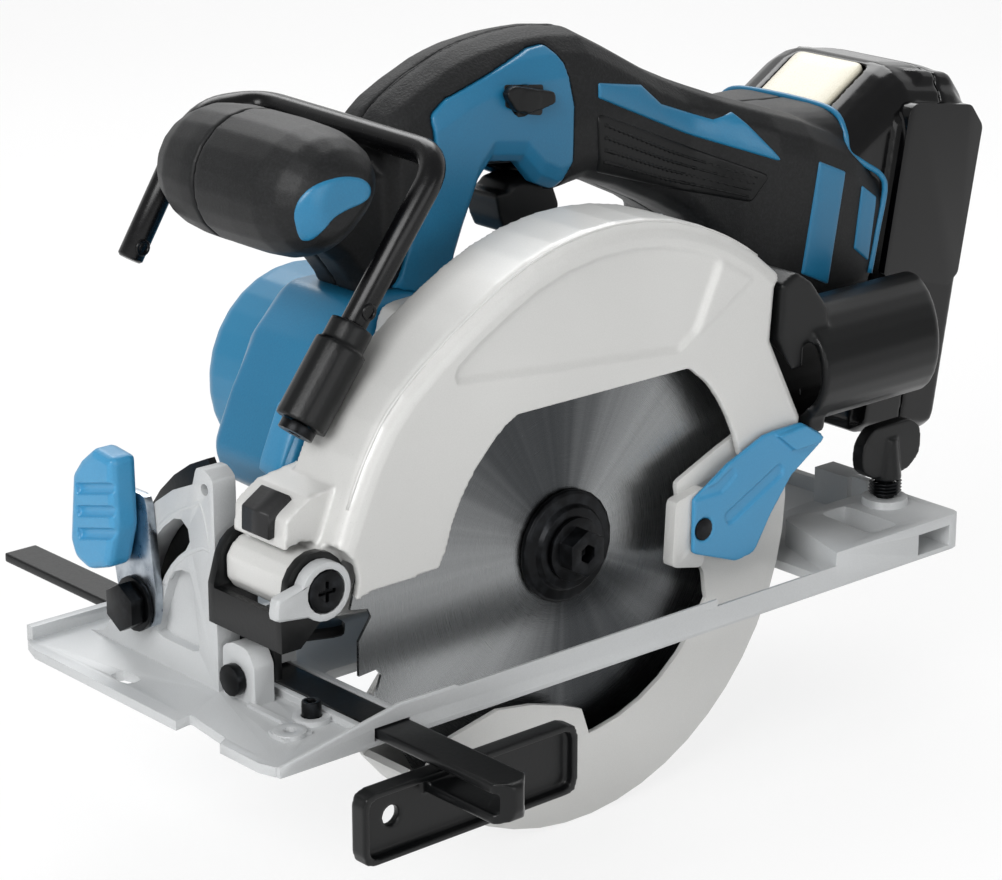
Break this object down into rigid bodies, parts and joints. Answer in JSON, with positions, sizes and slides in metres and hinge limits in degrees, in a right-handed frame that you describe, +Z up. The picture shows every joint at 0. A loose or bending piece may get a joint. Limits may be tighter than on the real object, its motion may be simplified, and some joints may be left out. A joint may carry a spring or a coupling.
{
  "type": "cordless circular saw",
  "caption": "Cordless circular saw with tilting base, lifting head, sprung lower guard, rip fence, dust nozzle, hanging hook and slide-off battery.",
  "frame": {"origin": "on the sole plane under the arbor, 23 mm towards the near side of the blade, on the flat under the near guide rail; the blade is at full depth and the saw is square", "axes": "+X runs rearward along the cut from the front handle to the battery, +Y from the blade side to the motor side, +Z up from the work"},
  "size_m": [0.3439, 0.244, 0.2333],
  "materials": {
    "cast_alloy": "satin cast",
    "painted_guard": "light grey satin paint",
    "teal_plastic": "fine moulded grain",
    "sky_plastic": "satin moulded",
    "grip_rubber": "grained soft overmould",
    "black_plastic": "satin moulded",
    "gloss_black": "gloss powder coat",
    "satin_black": "satin powder coat",
    "cream_plastic": "satin moulded",
    "blade_steel": "ground",
    "plain_steel": "machined",
    "blued_steel": "black oxide",
    "zinc_steel": "zinc plated",
    "cell_wrap": "wrapped cells"
  },
  "bodies": {
    "base": {"base_casting": "cast_alloy", "adjusting_screw": "blued_steel", "wing_spring": "plain_steel"},
    "tilt_frame": {"tilt_bracket": "satin_black", "depth_guide": "plain_steel", "bevel_bolt": "blued_steel", "bevel_washer": "blued_steel", "front_hinge_pin": "blued_steel", "rear_hinge_pin": "blued_steel", "depth_pivot_bolt": "blued_steel"},
    "bevel_lever": {"bevel_lever_strip": "zinc_steel", "bevel_knob": "sky_plastic"},
    "stop_lever": {"stop_lever": "cast_alloy"},
    "head": {"upper_guard": "painted_guard", "gear_case": "cast_alloy", "bearing_box": "cast_alloy", "front_bearing": "plain_steel", "rear_bearing": "plain_steel", "guard_spring": "plain_steel", "motor_housing": "teal_plastic", "stator": "plain_steel", "handle_near": "grip_rubber", "handle_far": "grip_rubber", "side_panel_near": "teal_plastic", "side_panel_far": "teal_plastic", "switch": "black_plastic", "controller": "cast_alloy", "terminal_block": "black_plastic", "dust_nozzle": "black_plastic", "nozzle_screw": "blued_steel", "hook_holder": "black_plastic", "hook_screw": "blued_steel"},
    "arbor": {"blade": "blade_steel", "inner_flange": "blued_steel", "outer_flange": "blued_steel", "blade_bolt": "blued_steel", "spindle": "plain_steel", "large_gear": "plain_steel"},
    "rotor": {"rotor": "plain_steel", "fan": "black_plastic"},
    "lower_guard": {"lower_guard": "painted_guard", "guard_lever": "teal_plastic", "guard_lever_screw": "blued_steel"},
    "depth_lever": {"depth_lever": "black_plastic"},
    "trigger": {"trigger": "black_plastic"},
    "lock_off_lever": {"lock_off_lever": "black_plastic"},
    "hook": {"hook_rod": "gloss_black"},
    "fence": {"fence": "satin_black"},
    "clamp_screw": {"clamp_screw": "black_plastic"},
    "wing_bolt": {"wing_bolt": "black_plastic"},
    "battery": {"battery_cover": "black_plastic", "battery_case": "black_plastic", "cell_pack": "cell_wrap"},
    "battery_button": {"battery_button": "cream_plastic"}
  },
  "joints": [
    {"name": "bevel_tilt", "type": "hinge", "parent": "base", "child": "tilt_frame", "pos_m": [0, 0.0432, 0.0095], "axis": [1, 0, 0], "range_deg": [0, 40]},
    {"name": "bevel_clamp", "type": "hinge", "parent": "tilt_frame", "child": "bevel_lever", "pos_m": [-0.1106, 0.08667, 0.02115], "axis": [1, 0, 0], "range_deg": [0, 40]},
    {"name": "stop_turn", "type": "hinge", "parent": "tilt_frame", "child": "stop_lever", "pos_m": [-0.101, 0.012, 0.044], "axis": [0, 1, 0], "range_deg": [0, 25]},
    {"name": "depth_lift", "type": "hinge", "parent": "tilt_frame", "child": "head", "pos_m": [-0.101, 0.023, 0.044], "axis": [0, -1, 0], "range_deg": [0, 30]},
    {"name": "blade_spin", "type": "hinge", "parent": "head", "child": "arbor", "pos_m": [0, 0.023, 0.03], "axis": [0, 1, 0], "continuous": true},
    {"name": "rotor_spin", "type": "hinge", "parent": "head", "child": "rotor", "pos_m": [0.0065, 0.083, 0.05414], "axis": [0, 1, 0], "continuous": true},
    {"name": "guard_retract", "type": "hinge", "parent": "head", "child": "lower_guard", "pos_m": [0, 0.023, 0.03], "axis": [0, -1, 0], "range_deg": [0, 110], "stiffness_Nm_per_rad": 0.15, "springref_deg": -68.75},
    {"name": "depth_clamp", "type": "hinge", "parent": "head", "child": "depth_lever", "pos_m": [0.06735, 0.048, 0.02034], "axis": [0, -1, 0], "range_deg": [0, 50]},
    {"name": "trigger_pull", "type": "slide", "parent": "head", "child": "trigger", "axis": [0.4512, 0, 0.8924], "range_m": [0, 0.006], "stiffness_N_per_m": 400, "springref_m": -0.004},
    {"name": "lock_off_turn", "type": "hinge", "parent": "head", "child": "lock_off_lever", "pos_m": [0.02, 0.081, 0.1575], "axis": [0, 1, 0], "range_deg": [0, 20], "stiffness_Nm_per_rad": 0.03, "springref_deg": -22.92},
    {"name": "hook_swing", "type": "hinge", "parent": "head", "child": "hook", "pos_m": [-0.0905, 0.034, 0.085], "axis": [0.6113, 0, 0.7914], "range_deg": [0, 180]},
    {"name": "fence_slide", "type": "slide", "parent": "base", "child": "fence", "axis": [0, 1, 0], "range_m": [-0.12, 0.014]},
    {"name": "clamp_turn", "type": "hinge", "parent": "base", "child": "clamp_screw", "pos_m": [-0.089, 0.057, 0.01], "axis": [0, 0, 1], "range_deg": [0, 90]},
    {"name": "wing_turn", "type": "hinge", "parent": "base", "child": "wing_bolt", "pos_m": [0.14, 0.0185, 0.02], "axis": [0, 0, 1], "range_deg": [0, 180]},
    {"name": "battery_slide", "type": "slide", "parent": "head", "child": "battery", "axis": [0.1736, 0, 0.9848], "range_m": [0, 0.09]},
    {"name": "latch_press", "type": "slide", "parent": "battery", "child": "battery_button", "axis": [0.532, 0, -0.8468], "range_m": [0, 0.003], "stiffness_N_per_m": 400, "springref_m": -0.003}
  ],
  "couplings": [
    {"joint": "rotor_spin", "follows": "blade_spin", "ratio": -4.5556}
  ]
}
